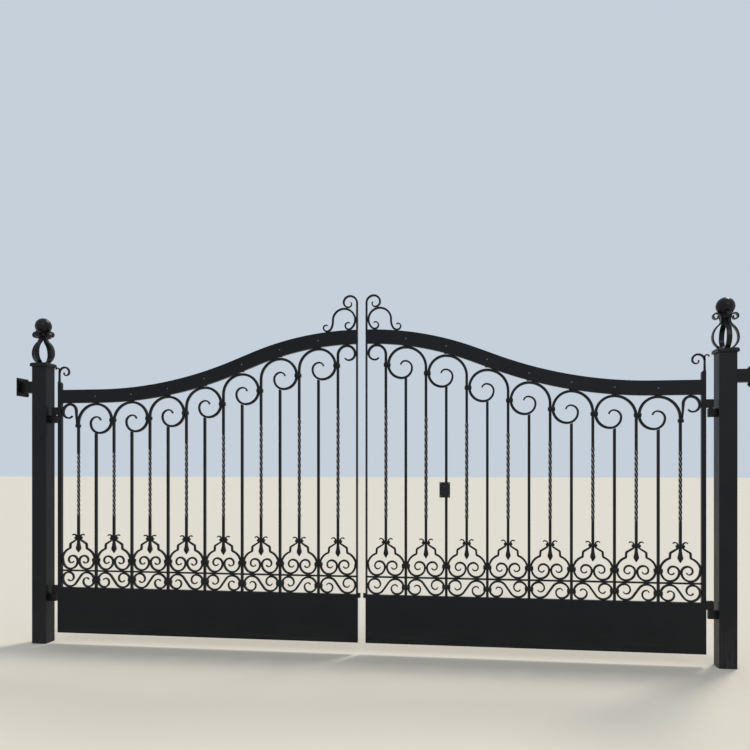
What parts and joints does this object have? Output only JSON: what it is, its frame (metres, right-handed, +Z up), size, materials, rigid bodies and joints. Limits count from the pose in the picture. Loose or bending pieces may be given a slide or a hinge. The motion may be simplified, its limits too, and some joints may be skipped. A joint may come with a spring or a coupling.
{
  "type": "driveway gate",
  "caption": "Swing driveway gate of wrought iron with swept top rails, scroll-headed twisted bars, an ornament band and sheet kick panels, hung on square posts with ball finials.",
  "frame": {"origin": "middle of the left post's foot face, on the ground", "axes": "+Z up; +X along the closed gate from the left post to the right post, as seen from the inside; +Y to the outside, away from the side to which the leaves open"},
  "size_m": [4.618, 0.158, 2.2467],
  "materials": {
    "frame_paint": "semi-gloss black",
    "scroll_paint": "semi-gloss black",
    "sheet_paint": "semi-gloss black",
    "post_paint": "satin black",
    "finial_paint": "semi-gloss black",
    "lock_paint": "satin black"
  },
  "bodies": {
    "posts": {"finial_balls": "finial_paint", "finial_straps": "finial_paint", "left_hinge_pins": "post_paint", "left_post": "post_paint", "left_post_cap": "post_paint", "left_wall_bracket": "post_paint", "right_hinge_pins": "post_paint", "right_post": "post_paint", "right_post_cap": "post_paint", "right_wall_bracket": "post_paint"},
    "left_leaf": {"left_band_bar": "frame_paint", "left_band_scrolls": "scroll_paint", "left_collars": "scroll_paint", "left_crest_scrolls": "scroll_paint", "left_hinge_eyes": "frame_paint", "left_hinge_stile": "frame_paint", "left_kick_frame": "frame_paint", "left_kick_sheet": "sheet_paint", "left_meeting_stile": "frame_paint", "left_onion_frames": "scroll_paint", "left_plain_bars": "frame_paint", "left_scroll_bars": "scroll_paint", "left_stile_scrolls": "scroll_paint", "left_stop_tab": "frame_paint", "left_top_rail": "frame_paint"},
    "right_leaf": {"right_band_bar": "frame_paint", "right_band_scrolls": "scroll_paint", "right_collars": "scroll_paint", "right_crest_scrolls": "scroll_paint", "right_hinge_eyes": "frame_paint", "right_hinge_stile": "frame_paint", "right_kick_frame": "frame_paint", "right_kick_sheet": "sheet_paint", "right_lock_box": "lock_paint", "right_meeting_stile": "frame_paint", "right_onion_frames": "scroll_paint", "right_plain_bars": "frame_paint", "right_scroll_bars": "scroll_paint", "right_stile_scrolls": "scroll_paint", "right_stop_tab": "frame_paint", "right_top_rail": "frame_paint"}
  },
  "joints": [
    {"name": "left_leaf_swing", "type": "hinge", "parent": "posts", "child": "left_leaf", "pos_m": [0.08, 0, 0.9], "axis": [0, 0, -1], "range_deg": [0, 90]},
    {"name": "right_leaf_swing", "type": "hinge", "parent": "posts", "child": "right_leaf", "pos_m": [4.228, 0, 0.9], "axis": [0, 0, 1], "range_deg": [0, 90]}
  ]
}
